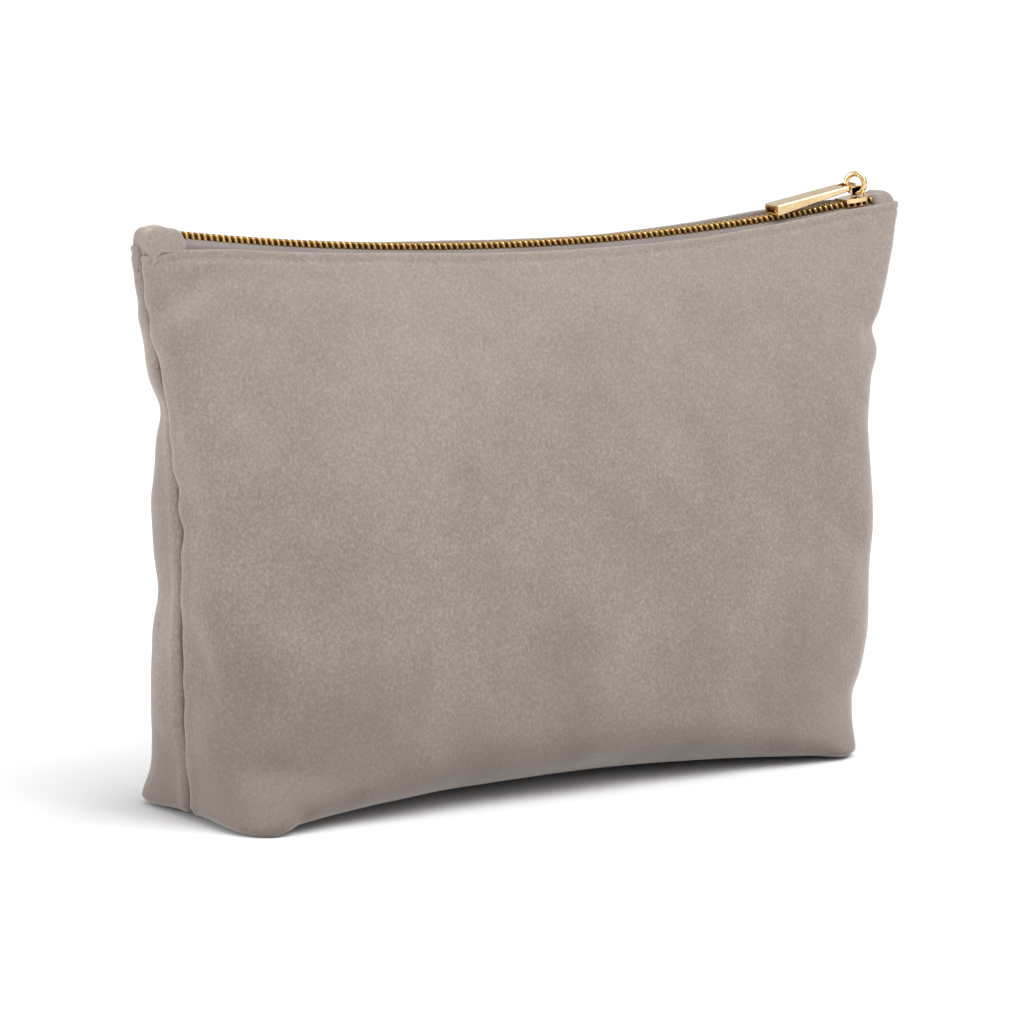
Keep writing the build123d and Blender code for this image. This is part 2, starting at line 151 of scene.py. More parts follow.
def section_values(z):
    """Middle, half length, half depth and squareness at a height, smoothed over the levels."""
    heights = np.array([row[0] for row in SECTIONS])
    dense = np.arange(-20.0, 226.0, 1.0)
    kernel = np.exp(-0.5 * (np.arange(-18, 19) / 4.0) ** 2)
    kernel /= kernel.sum()
    values = []
    for column in range(1, 5):
        line = np.interp(dense, heights, [row[column] for row in SECTIONS])
        line = np.convolve(np.pad(line, 18, mode="edge"), kernel, mode="valid")
        values.append(np.interp(z, dense, line))
    return values


NEAR = np.array([0.0, 0.15, 0.4, 0.8, 1.3, 2.0, 3.0, 4.4, 6.2])
MIDDLE_COLUMNS = 214
FLAP = np.array([3.2, 1.6, 0.6])


def table(inset, side):
    """The bag's outside as a table over height: X and Y of each column, from left seam to right."""
    heights = np.arange(0.0, 206.0, 2.0)
    xs, ys = [], []
    for z in heights:
        middle, length, depth, power = section_values(z)
        under = BASE_ROUND - math.sqrt(max(BASE_ROUND**2 - max(BASE_ROUND - z, 0) ** 2, 0))
        turn = np.linspace(math.pi, 0, 6001)
        cosine, sine = np.cos(turn), np.sin(turn)
        x = middle + (length - inset - under) * np.sign(cosine) * np.abs(cosine) ** (2 / power)
        y = (depth - inset - under) * np.abs(sine) ** (2 / power)
        run = np.concatenate([[0], np.cumsum(np.hypot(np.diff(x), np.diff(y)))])
        centre = np.linspace(NEAR[-1], run[-1] - NEAR[-1], MIDDLE_COLUMNS)[1:-1]
        place = np.concatenate([NEAR, centre, run[-1] - NEAR[::-1]])
        xs.append(np.interp(place, run, x))
        ys.append(np.interp(place, run, y) * side)
    return heights, np.array(xs), np.array(ys)


def distance_to(points, start, end):
    start, end = np.array(start, float), np.array(end, float)
    along = end - start
    share = np.clip(((points - start) @ along) / (along @ along), 0, 1)
    return np.linalg.norm(points - start - share[..., None] * along, axis=-1)


def waves(points, seed, wavelength, count=14):
    """A smooth, repeatable unevenness from -1 to 1."""
    draw = np.random.default_rng(seed)
    total = np.zeros(points.shape[:-1])
    for _ in range(count):
        direction = draw.normal(size=3)
        direction *= 2 * math.pi / (wavelength * draw.uniform(0.7, 1.6) * np.linalg.norm(direction))
        total += np.sin(points @ direction + draw.uniform(0, 2 * math.pi))
    return total / math.sqrt(count)


def smooth_step(value, low, high):
    share = np.clip((value - low) / (high - low), 0, 1)
    return share * share * (3 - 2 * share)


def grid_normals(points, side):
    """Outward normals of a grid of points, rows upward and columns from left to right."""
    across = np.gradient(points, axis=1)
    up = np.gradient(points, axis=0)
    normal = np.cross(across, up) * -side
    size = np.linalg.norm(normal, axis=-1, keepdims=True)
    return normal / np.maximum(size, 1e-9)


def wall(side, inset, top_drop, rows):
    """The wall of one half as a grid of points: rows from the floor up to top_drop(x) below the chain."""
    heights, xs, ys = table(inset, side)
    columns = xs.shape[1]
    grid = np.zeros((len(rows), columns, 3))
    for number, row in enumerate(rows):
        z = np.full(columns, row * 185.0)
        for _ in range(6):
            x = np.array([np.interp(z[c], heights, xs[:, c]) for c in range(columns)])
            z = row * (chain_height(x) - top_drop(x))
        y = np.array([np.interp(z[c], heights, ys[:, c]) for c in range(columns)])
        grid[number] = np.stack([x, y, z], axis=-1)
    return grid


def wall_rows(top=180.0):
    low = np.array([0, 0.4, 1.0, 1.8, 2.8, 4.0, 5.4, 7.0, 9.0]) / top
    high = 1 - np.array([7.0, 5.6, 4.6, 3.9, 3.4, 3.0, 2.6, 2.2, 1.8, 1.3, 0.8, 0.3, 0.0])[::1] / top
    centre = np.linspace(low[-1], high[0], 96)[1:-1]
    return np.concatenate([low, centre, high])


def settled(grid, side, rise=0.0):
    """Rolls the long lower edges under and lifts the edges that don't touch the floor."""
    middle, length, _, _ = section_values(0.0)
    x, y, z = grid[..., 0], grid[..., 1], grid[..., 2]
    share = np.clip(np.abs(x - middle) / length, 0, 1)
    share = (1 - share**2.2) * (1 - smooth_step(share, 0.84, 0.97))
    roll = np.maximum(BASE_ROLL * share, 0.01)
    under = np.clip(roll - (z - rise), 0, roll)
    inset = roll - np.sqrt(roll**2 - under**2)
    inset = np.minimum(inset, 0.6 * np.abs(y))
    end = np.exp(-((y / 24) ** 2)) * np.exp(-((np.abs(x - middle) - length) / 9.0) ** 2)
    lift = BASE_LIFT * share * (np.abs(y) > 1) + END_LIFT * end * np.where(x < 0, 1.0, 0.7)
    grid = grid.copy()
    grid[..., 1] = y - side * inset
    grid[..., 2] = z + lift * np.exp(-(((z - rise) / 12.0) ** 2))
    return grid


def seam_distance(grid):
    """Distance along each row from the nearer side seam."""
    step = np.linalg.norm(np.diff(grid, axis=1), axis=-1)
    run = np.concatenate([np.zeros((len(grid), 1)), np.cumsum(step, axis=1)], axis=1)
    return np.minimum(run, run[:, -1:] - run)


def shaped_wall(side):
    """The velvet wall with its creases, puckers and rolled seams."""
    grid = wall(side, 0.0, lambda x: fold_drop(x, side) + FOLD_ROUND, wall_rows())
    grid = settled(grid, side)
    normal = grid_normals(grid, side)
    below = chain_height(grid[..., 0]) - fold_drop(grid[..., 0], side) - grid[..., 2]
    near_seam = seam_distance(grid)
    push = 0.55 * waves(grid, 11 + side, 46) + 0.16 * waves(grid, 23 + side, 15)
    push *= smooth_step(grid[..., 2], 0, 14) * smooth_step(below, 4, 24)
    for where, start, end, width, height in CREASES:
        if where == side:
            push += height * np.exp(-((distance_to(grid, start, end) / width) ** 2))
    x = grid[..., 0]
    beat = np.cos(2 * math.pi * x / STITCH_PITCH)
    line = np.exp(-(((below - STITCH_BELOW_FOLD) / 0.75) ** 2))
    push += line * (-0.30 - 0.08 * beat)
    push += 0.22 * np.exp(-(((below - 5.2) / 2.2) ** 2)) * (0.6 + waves(grid * (1, 0, 0), 31, 7.5))
    push += 0.16 * np.exp(-((below / 1.3) ** 2)) * (0.5 + waves(grid * (1, 0, 0), 37, 9.0))
    pucker = np.exp(-((near_seam / 7.0) ** 2)) * waves(grid * (0, 0, 1), 41 + side, 13.0)
    push += 0.35 * pucker * smooth_step(grid[..., 2], 4, 16)
    push += 0.45 * np.exp(-(((near_seam - 3.6) / 1.8) ** 2))
    inward = np.where(near_seam < SEAM_ROUND, SEAM_ROUND - near_seam, 0)
    push -= SEAM_ROUND - np.sqrt(SEAM_ROUND**2 - inward**2)
    grid = grid + normal * push[..., None]
    grid[..., 1] = side * np.maximum(side * grid[..., 1], SEAM_GAP)
    grid[..., 2] = np.maximum(grid[..., 2], 0.0)
    return grid


def with_flaps(grid, side):
    """Adds the seam allowances, which turn inward at both ends of each row."""
    left, right = grid[:, :1], grid[:, -1:]
    first = [left + np.array([depth, 0, 0]) for depth in FLAP]
    last = [right - np.array([depth, 0, 0]) for depth in FLAP[::-1]]
    for part in first + last:
        part[..., 1] = side * SEAM_GAP
    return np.concatenate([*first, grid, *last], axis=1)


def base_rows(grid, side, count=14):
    """Rows of the flat base, from its middle seam out to the wall's lowest row."""
    edge = grid[0]
    middle, length, depth, _ = section_values(0.0)
    reach = length - depth * 0.95
    along = middle + np.clip(edge[:, 0] - middle, -reach, reach)
    spine = np.stack([along, np.full(len(edge), side * SEAM_GAP), np.zeros(len(edge))], axis=-1)
    rows = []
    for number in range(count):
        share = (number / count) ** 0.8
        row = spine + share * (edge - spine)
        away = np.abs(row[:, 1]) - SEAM_GAP
        inward = np.where(away < 1.4, 1.4 - away, 0)
        row[:, 2] = share**2 * edge[:, 2] + 0.12 * (1 - share) + 1.4 - np.sqrt(1.4**2 - inward**2 * 0.98)
        rows.append(row)
    return np.array(rows)


def fold_rows(grid, side, flap=7.5):
    """Rows that roll the top edge inward and run down behind it."""
    top = grid[-1]
    normal = grid_normals(grid, side)[-1]
    normal[:, 2] = 0
    normal /= np.linalg.norm(normal, axis=-1, keepdims=True)
    rows = []
    for angle in np.linspace(0, math.pi, 8)[1:]:
        move = -normal * FOLD_ROUND * (1 - math.cos(angle)) + np.array([0, 0, FOLD_ROUND * math.sin(angle)])
        rows.append(top + move)
    for drop in (1.5, 3.5, flap):
        rows.append(rows[6] - np.array([0, 0, drop]))
    rows = np.array(rows)
    rows[..., 1] = side * np.maximum(side * rows[..., 1], SEAM_GAP)
    return rows


def mesh_from_grid(name, grid, flip, uv=None):
    """A mesh of quads from a grid of points in millimetres."""
    rows, columns = grid.shape[:2]
    index = np.arange(rows * columns).reshape(rows, columns)
    quads = np.stack([index[:-1, :-1], index[:-1, 1:], index[1:, 1:], index[1:, :-1]], axis=-1).reshape(-1, 4)
    if flip:
        quads = quads[:, ::-1]
    mesh = bpy.data.meshes.new(name)
    mesh.from_pydata((grid.reshape(-1, 3) * MM).tolist(), [], quads.tolist())
    if uv is not None:
        layer = mesh.uv_layers.new(name="weave")
        flat = uv.reshape(-1, 2)
        corners = np.zeros(len(mesh.loops), int)
        mesh.loops.foreach_get("vertex_index", corners)
        layer.data.foreach_set("uv", flat[corners].ravel().astype(np.float32))
    made = bmesh.new()
    made.from_mesh(mesh)
    bmesh.ops.remove_doubles(made, verts=made.verts, dist=2e-6)
    bmesh.ops.dissolve_degenerate(made, edges=made.edges, dist=1e-6)
    made.to_mesh(mesh)
    made.free()
    mesh.shade_smooth()
    piece = bpy.data.objects.new(name, mesh)
    bpy.context.scene.collection.objects.link(piece)
    return piece


def thicken(piece, thickness):
    """Gives a sheet its thickness, on the side away from its normals, and applies it."""
    modifier = piece.modifiers.new("thickness", "SOLIDIFY")
    modifier.thickness = thickness * MM
    modifier.offset = -1
    return applied(piece)


def applied(piece):
    """Bakes a piece's modifiers into its mesh."""
    depsgraph = bpy.context.evaluated_depsgraph_get()
    mesh = bpy.data.meshes.new_from_object(piece.evaluated_get(depsgraph))
    piece.modifiers.clear()
    piece.data = mesh
    mesh.name = piece.name
    mesh.shade_smooth()
    return piece


def piece_from_bmesh(name, made):
    """A smooth-shaded piece from a bmesh."""
    mesh = bpy.data.meshes.new(name)
    made.to_mesh(mesh)
    made.free()
    mesh.shade_smooth()
    piece = bpy.data.objects.new(name, mesh)
    bpy.context.scene.collection.objects.link(piece)
    return piece


# Materials


class Nodes:
    """A short way to build a material's nodes."""

    def __init__(self, name):
        self.material = bpy.data.materials.new(name)
        self.material.use_nodes = True
        self.tree = self.material.node_tree
        self.shader = self.tree.nodes["Principled BSDF"]

    def add(self, kind, **values):
        node = self.tree.nodes.new(kind)
        for key, value in values.items():
            if key in node.inputs:
                node.inputs[key].default_value = value
            else:
                setattr(node, key, value)
        return node

    def link(self, start, end):
        self.tree.links.new(start, end)

    def coordinates(self, scale=(1, 1, 1), turn=(0, 0, 0)):
        place = self.add("ShaderNodeTexCoord")
        mapping = self.add("ShaderNodeMapping")
        mapping.inputs["Scale"].default_value = scale
        mapping.inputs["Rotation"].default_value = turn
        self.link(place.outputs["Object"], mapping.inputs["Vector"])
        return mapping.outputs["Vector"]

    def noise(self, vector, scale, detail=4.0, rough=0.55, distortion=0.0):
        node = self.add("ShaderNodeTexNoise")
        node.inputs["Scale"].default_value = scale
        node.inputs["Detail"].default_value = detail
        node.inputs["Roughness"].default_value = rough
        node.inputs["Distortion"].default_value = distortion
        self.link(vector, node.inputs["Vector"])
        return node.outputs["Fac"]

    def spread(self, value, low, high, to_low=0.0, to_high=1.0):
        node = self.add("ShaderNodeMapRange")
        node.inputs["From Min"].default_value = low
        node.inputs["From Max"].default_value = high
        node.inputs["To Min"].default_value = to_low
        node.inputs["To Max"].default_value = to_high
        self.link(value, node.inputs["Value"])
        return node.outputs["Result"]

    def math(self, operation, first, second=None):
        node = self.add("ShaderNodeMath", operation=operation)
        for socket, value in zip(node.inputs, (first, second)):
            if value is None:
                continue
            if isinstance(value, (int, float)):
                socket.default_value = value
            else:
                self.link(value, socket)
        return node.outputs["Value"]

    def mix(self, share, first, second, blend="MIX"):
        node = self.add("ShaderNodeMix", data_type="RGBA", blend_type=blend)
        sockets = (node.inputs["Factor"], node.inputs["A"], node.inputs["B"])
        for socket, value in zip(sockets, (share, first, second)):
            target = socket
            if socket.name != "Factor":
                target = [s for s in node.inputs if s.name == socket.name and s.type == "RGBA"][0]
            if isinstance(value, (int, float, tuple)):
                target.default_value = value
            else:
                self.link(value, target)
        return [s for s in node.outputs if s.type == "RGBA"][0]

    def bump(self, height, strength, distance, below=None):
        node = self.add("ShaderNodeBump")
        node.inputs["Strength"].default_value = strength
        node.inputs["Distance"].default_value = distance
        self.link(height, node.inputs["Height"])
        if below is not None:
            self.link(below, node.inputs["Normal"])
        return node.outputs["Normal"]

    def set(self, **values):
        names = {
            "metallic": "Metallic", "roughness": "Roughness", "color": "Base Color", "normal": "Normal",
            "sheen": "Sheen Weight", "sheen_roughness": "Sheen Roughness", "sheen_tint": "Sheen Tint",
            "specular": "Specular IOR Level", "coat": "Coat Weight", "coat_roughness": "Coat Roughness",
            "anisotropic": "Anisotropic", "ior": "IOR",
        }
        for key, value in values.items():
            socket = self.shader.inputs[names[key]]
            if isinstance(value, (int, float, tuple)):
                socket.default_value = value
            else:
                self.link(value, socket)
        return self.material


def velvet_material(name, dark, middle, light):
    """Short-pile velvet: mottled nap, fine grain and soft sheen, with painted shade darkening it low down and
    painted light lightening it near the mouth.
    """
    n = Nodes(name)
    cloud = n.noise(n.coordinates((1.0, 1.0, 0.8)), 26, 3.0, 0.5, 0.4)
    brushed = n.noise(n.coordinates((1.0, 1.0, 0.7), (0, 0.45, 0)), 190, 3.0, 0.55, 0.5)
    pile = n.noise(n.coordinates((1.0, 1.0, 0.8)), 1150, 3.0, 0.6)
    fibre = n.noise(n.coordinates((1.0, 1.0, 0.7)), 2600, 2.0, 0.6)
    base = n.mix(n.spread(cloud, 0.30, 0.70), dark, light)
    base = n.mix(0.78, base, middle)
    base = n.mix(n.spread(brushed, 0.40, 0.72, 0.0, 0.12), base, light)
    base = n.mix(n.spread(pile, 0.60, 0.30, 0.0, 0.60), base, dark)
    base = n.mix(n.spread(pile, 0.52, 0.75, 0.0, 0.45), base, light)
    base = n.mix(n.spread(fibre, 0.55, 0.75, 0.0, 0.25), base, light)
    # Painted shade and painted light by height: the colour darkens over the lowest 60 mm towards the floor and
    # lightens from 100 mm up towards the mouth.
    split = n.add("ShaderNodeSeparateXYZ")
    n.link(n.coordinates(), split.inputs["Vector"])
    low = n.math("ADD", split.outputs["Z"], n.spread(cloud, 0.3, 0.7, -0.012, 0.012))
    base = n.mix(n.spread(low, 0.060, 0.0, 0.0, 0.72), base, dark)
    base = n.mix(n.spread(low, 0.10, 0.20, 0.0, 0.28), base, light)
    height = n.math("ADD", n.math("MULTIPLY", pile, 0.7), n.math("MULTIPLY", fibre, 0.3))
    normal = n.bump(brushed, 0.25, 0.0005)
    normal = n.bump(height, 0.55, 0.00035, normal)
    rough = n.spread(brushed, 0.3, 0.7, 0.82, 0.98)
    return n.set(color=base, roughness=rough, normal=normal, sheen=0.55, sheen_roughness=0.42,
                 sheen_tint=(0.93, 0.88, 0.83, 1), specular=0.12)


def woven_material(name, first, second, scale=2400):
    """A plain woven lining."""
    n = Nodes(name)
    place = n.coordinates()
    warp = n.add("ShaderNodeTexWave", wave_type="BANDS", bands_direction="X")
    weft = n.add("ShaderNodeTexWave", wave_type="BANDS", bands_direction="Z")
    for wave in (warp, weft):
        wave.inputs["Scale"].default_value = scale / 6.0
        wave.inputs["Distortion"].default_value = 0.4
        n.link(place, wave.inputs["Vector"])
    cross = n.math("MULTIPLY", warp.outputs["Fac"], weft.outputs["Fac"])
    slub = n.noise(n.coordinates((1, 1, 0.2)), 300, 3.0)
    base = n.mix(n.spread(slub, 0.35, 0.65), first, second)
    base = n.mix(n.spread(cross, 0.0, 1.0, 0.25, 0.0), base, tuple(0.6 * c for c in first[:3]) + (1,))
    return n.set(color=base, roughness=n.spread(slub, 0.3, 0.7, 0.72, 0.86),
                 normal=n.bump(cross, 0.5, 0.0002), specular=0.25, sheen=0.15)


def tape_material(name, first, second):
    """Herringbone zip tape: ribs that slant one way and then the other, read from the piece's own map."""
    n = Nodes(name)
    uv = n.add("ShaderNodeUVMap", uv_map="weave")
    split = n.add("ShaderNodeSeparateXYZ")
    n.link(uv.outputs["UV"], split.inputs["Vector"])
    along, across = split.outputs["X"], split.outputs["Y"]
    zigzag = n.math("PINGPONG", across, 1.1)
    phase = n.math("ADD", along, n.math("MULTIPLY", zigzag, 0.9))
    rib = n.math("SINE", n.math("MULTIPLY", phase, 2 * math.pi / 0.62))
    rib = n.spread(rib, -1, 1)
    column = n.spread(n.math("PINGPONG", across, 1.1), 0.0, 0.16, 0.55, 1.0)
    height = n.math("MULTIPLY", rib, column)
    fuzz = n.noise(n.coordinates(), 2200, 3.0, 0.65)
    patch = n.noise(n.coordinates(), 90, 3.0, 0.5)
    base = n.mix(n.spread(height, 0.15, 0.9), first, second)
    base = n.mix(n.spread(fuzz, 0.4, 0.7, 0.0, 0.3), base, tuple(min(1, 1.35 * c) for c in second[:3]) + (1,))
    base = n.mix(n.spread(patch, 0.35, 0.65, 0.0, 0.25), base, first)
    both = n.math("ADD", n.math("MULTIPLY", height, 0.75), n.math("MULTIPLY", fuzz, 0.25))
    return n.set(color=base, roughness=n.spread(fuzz, 0.3, 0.7, 0.7, 0.88), normal=n.bump(both, 0.8, 0.00025),
                 specular=0.3, sheen=0.25, sheen_roughness=0.4)


def thread_material(name, first, second):
    """Spun thread: fine twisted plies."""
    n = Nodes(name)
    place = n.coordinates((1.0, 1.0, 1.0), (0.5, 0.5, 0.6))
    twist = n.add("ShaderNodeTexWave", wave_type="BANDS", bands_direction="DIAGONAL")
    twist.inputs["Scale"].default_value = 700
    twist.inputs["Distortion"].default_value = 1.0
    n.link(place, twist.inputs["Vector"])
    fuzz = n.noise(n.coordinates(), 3000, 2.0)
    base = n.mix(n.spread(twist.outputs["Fac"], 0.1, 0.9), first, second)
    return n.set(color=base, roughness=n.spread(fuzz, 0.3, 0.7, 0.6, 0.8),
                 normal=n.bump(twist.outputs["Fac"], 0.6, 0.00012), sheen=0.3, specular=0.3)


def metal_material(name, worn, clean, rough_low, rough_high, stain, scale):
    """Plated metal: colour that drifts, faint tarnish in patches, and fine scratches."""
    n = Nodes(name)
    patch = n.noise(n.coordinates(), scale, 4.0, 0.6)
    fine = n.noise(n.coordinates((1, 1, 0.3)), scale * 9, 3.0, 0.65)
    scratch = n.noise(n.coordinates((0.08, 1, 1), (0, 0, 0.14)), 5200, 2.0, 0.5)
    base = n.mix(n.spread(patch, 0.35, 0.66), clean, worn)
    base = n.mix(n.spread(fine, 0.52, 0.75, 0.0, stain), base, tuple(0.45 * c for c in worn[:3]) + (1,))
    smooth_part = n.spread(fine, 0.3, 0.7, rough_low, rough_high)
    rough = n.math("ADD", smooth_part, n.spread(scratch, 0.55, 0.8, 0.0, 0.08))
    normal = n.bump(fine, 0.10, 0.00006)
    normal = n.bump(scratch, 0.05, 0.00002, normal)
    return n.set(color=base, metallic=1.0, roughness=rough, normal=normal, specular=0.5)


VELVET_MATERIAL = velvet_material("velvet", (0.135, 0.110, 0.094, 1), (0.215, 0.182, 0.158, 1),
                                  (0.315, 0.275, 0.243, 1))
LINING_MATERIAL = woven_material("lining", (0.40, 0.35, 0.31, 1), (0.48, 0.43, 0.38, 1))
TAPE_MATERIAL = tape_material("zip_tape", (0.125, 0.106, 0.100, 1), (0.285, 0.252, 0.236, 1))
THREAD_MATERIAL = thread_material("thread", (0.20, 0.165, 0.140, 1), (0.33, 0.285, 0.250, 1))
TEETH_MATERIAL = metal_material("antique_gold", (0.34, 0.21, 0.075, 1), (0.66, 0.44, 0.17, 1),
                                0.26, 0.42, 0.55, 420)
GOLD_MATERIAL = metal_material("polished_gold", (0.66, 0.47, 0.25, 1), (0.82, 0.63, 0.37, 1),
                               0.12, 0.20, 0.20, 160)


def finish_piece(piece, material, body, slot, *nodes):
    """Dresses a piece, rides it on its body and lets it stand for its CAD nodes."""
    piece.data.materials.clear()
    piece.data.materials.append(material)
    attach(piece, body)
    if nodes:
        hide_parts(*nodes)
    return piece


# Velvet panels

WALLS = {}
for name, side in (("front", -1), ("back", 1)):
    grid = shaped_wall(side)
    WALLS[side] = grid
    whole = np.concatenate([base_rows(grid, side), grid, fold_rows(grid, side)], axis=0)
    whole = with_flaps(whole, side)
    panel = mesh_from_grid(f"{name}_velvet", whole, flip=side > 0)
    thicken(panel, VELVET)
    finish_piece(panel, VELVET_MATERIAL, "bag", "velvet", f"{name}_panel")

# Linings

for name, side in (("front", -1), ("back", 1)):
    low_rows = np.array([0, 0.4, 1.0, 1.8, 2.8, 4.0, 5.4, 7.0, 9.0]) / 170
    rows = np.concatenate([low_rows, np.linspace(0.06, 1, 60)[1:]])
    grid = wall(side, LINING_INSET, lambda x: LINING_BELOW_CHAIN + 0 * x, rows)
    grid[..., 2] = grid[..., 2] * (1 - LINING_RISE / 180) + LINING_RISE
    grid = settled(grid, side, LINING_RISE)
    spread_in = seam_distance(grid)
    grid[..., 1] = side * np.maximum(side * grid[..., 1], 0.15)
    sag = 0.35 * waves(grid, 71 + side, 30) - 0.35
    grid = grid + grid_normals(grid, side) * (sag * smooth_step(spread_in, 2, 12))[..., None]
    base = base_rows(grid - np.array([0, 0, LINING_RISE]), side)
    base[..., 2] = np.minimum(base[..., 2] + LINING_RISE, 6.0)
    whole = np.concatenate([base, grid], axis=0)
    lining = mesh_from_grid(f"{name}_lining_cloth", whole, flip=side > 0)
    thicken(lining, LINING_SHEET)
    finish_piece(lining, LINING_MATERIAL, "bag", "lining", f"{name}_lining")


# The zip

def on_arc(points, place):
    """Moves points, built round the chain's middle at X = 0, along the chain's arc to a place."""
    angle = (place - ARC_MIDDLE) / ARC_RADIUS
    x, y, h = points[..., 0], points[..., 1], points[..., 2]
    reach = ARC_RADIUS - h
    return np.stack([ARC_MIDDLE + x * math.cos(angle) + reach * math.sin(angle), y,
                     ARC_CENTRE_HEIGHT + x * math.sin(angle) - reach * math.cos(angle)], axis=-1)


def row_shift(place):
    """How far a row stands aside: the slider parts the rows past its tail."""
    start, full = SLIDER_PLACE - SLIDER_HALF_LENGTH, SLIDER_PLACE + 1.0
    return ROW_SPREAD * smooth_step(place, start, full)


for name, side in (("front", -1), ("back", 1)):
    places = np.linspace(-CHAIN_HALF_LENGTH, CHAIN_HALF_LENGTH, 236)
    profile = [(TAPE_EDGE, 0.0), (1.9, -0.02), (2.5, -0.12), (3.0, -0.4), (3.5, -0.75), (4.0, -1.1),
               (4.4, -1.5), (4.75, -2.1), (4.95, -2.8), (5.05, -3.8), (5.1, -6.0), (5.1, -9.6)]
    profile = np.array(profile)
    lengths = np.concatenate([[0], np.cumsum(np.hypot(*np.diff(profile, axis=0).T))])
    grid, uv = [], []
    for place in places:
        shift = row_shift(place) * np.clip(1 - (profile[:, 0] - TAPE_EDGE) / 4.0, 0, 1)
        ripple = 0.10 * math.sin(place * 0.31) * np.clip((profile[:, 0] - 2.4) / 2.6, 0, 1)
        rise = profile[:, 1] - TAPE_BELOW + ripple
        points = np.stack([0 * lengths, side * (profile[:, 0] + shift), rise], axis=-1)
        grid.append(on_arc(points, place))
        uv.append(np.stack([0 * lengths + place, lengths], axis=-1))
    grid = np.array(grid).transpose(1, 0, 2)
    uv = np.array(uv).transpose(1, 0, 2)
    tape = mesh_from_grid(f"{name}_zip_tape_cloth", grid, flip=side < 0, uv=uv)
    thicken(tape, TAPE_SHEET)
    finish_piece(tape, TAPE_MATERIAL, "bag", "zip_tape", f"{name}_zip_tape")


def lofted(rings, mirrored=False):
    """Points and faces of a closed solid through rings of points, mirrored across the zip if asked."""
    made = bmesh.new()
    rings = [[made.verts.new(point) for point in ring] for ring in rings]
    count = len(rings[0])
    for first, second in zip(rings[:-1], rings[1:]):
        for step in range(count):
            after = (step + 1) % count
            made.faces.new((first[step], first[after], second[after], second[step]))
    made.faces.new(rings[0][::-1])
    made.faces.new(rings[-1])
    if mirrored:
        for vert in made.verts:
            vert.co.y = -vert.co.y
        bmesh.ops.reverse_faces(made, faces=made.faces)
    bmesh.ops.recalc_face_normals(made, faces=made.faces)
    mesh = bpy.data.meshes.new("part")
    made.to_mesh(mesh)
    made.free()
    points = np.array([v.co[:] for v in mesh.vertices])
    faces = [tuple(p.vertices) for p in mesh.polygons]
    bpy.data.meshes.remove(mesh)
    return points, faces


def tooth_part(side):
    """One tooth: a waisted head that meshes across the middle, and a body that grips the tape."""
    # across the zip, half length along it, half height
    stations = [(0.92, 0.30, 0.60), (0.80, 0.48, 1.00), (0.35, 0.54, 1.28), (-0.25, 0.40, 1.18),
                (-0.8, 0.42, 1.22), (-1.25, 0.62, 1.34), (-2.25, 0.62, 1.32), (-2.55, 0.50, 1.10),
                (-2.65, 0.32, 0.76)]
    rings = []
    for across, half, high in stations:
        ring = []
        for step in range(12):
            angle = 2 * math.pi * (step + 0.5) / 12
            c, s = math.cos(angle), math.sin(angle)
            t = half * math.copysign(abs(c) ** 0.5, c)
            h = high * math.copysign(abs(s) ** 0.45, s)
            ring.append((t + TOOTH_LEAN * h, across, h))
        rings.append(ring)
    return lofted(rings, mirrored=side > 0)


def many(name, points, faces, spots):
    """Copies of one small part, each moved by a function of its points."""
    verts, polygons = [], []
    for spot in spots:
        offset = len(verts)
        verts.extend((spot(points) * MM).tolist())
        polygons.extend(tuple(i + offset for i in face) for face in faces)
    mesh = bpy.data.meshes.new(name)
    mesh.from_pydata(verts, [], polygons)
    mesh.shade_smooth()
    piece = bpy.data.objects.new(name, mesh)
    bpy.context.scene.collection.objects.link(piece)
    return piece


for name, side in (("front", -1), ("back", 1)):
    points, faces = tooth_part(side)
    first = -(TEETH_PER_ROW - 0.5) / 2 * TOOTH_PITCH + (0 if side < 0 else TOOTH_PITCH / 2)
    spots = []
    for number in range(TEETH_PER_ROW):
        place = first + number * TOOTH_PITCH
        shift = side * float(row_shift(place))
        spots.append(lambda p, place=place, shift=shift: on_arc(p + np.array([0, shift, 0]), place))
    row = many(f"{name}_teeth_row", points, faces, spots)
    finish_piece(row, TEETH_MATERIAL, "bag", "antique_gold", f"{name}_teeth")


def softened(node, name, bevel, body, slot="polished_gold", material=GOLD_MATERIAL):
    """A copy of a CAD node with its sharp edges rounded over, which stands for the node."""
    made = bmesh.new()
    made.from_mesh(NODES[node].data)
    bmesh.ops.remove_doubles(made, verts=made.verts, dist=2e-6)
    bmesh.ops.dissolve_limit(made, angle_limit=math.radians(3), verts=made.verts, edges=made.edges)
    sharp = [e for e in made.edges if len(e.link_faces) == 2 and e.calc_face_angle(0) > math.radians(24)]
    bmesh.ops.bevel(made, geom=sharp, offset=bevel * MM, segments=3, affect="EDGES", profile=0.5,
                    clamp_overlap=True, offset_type="OFFSET")
    bmesh.ops.recalc_face_normals(made, faces=made.faces)
    piece = piece_from_bmesh(name, made)
    weighted = piece.modifiers.new("normals", "WEIGHTED_NORMAL")
    weighted.keep_sharp = False
    weighted.weight = 100
    applied(piece)
    return finish_piece(piece, material, body, slot, node)


softened("slider_body", "slider_plates", 0.22, body="slider")
softened("slider_bridge", "slider_loop", 0.2, body="slider")
softened("pull_bar", "pull_tag", 0.22, body="pull")
for node in ("bottom_stop", "front_top_stop", "back_top_stop"):
    softened(node, f"{node}_block", 0.2, body="bag", slot="antique_gold", material=TEETH_MATERIAL)


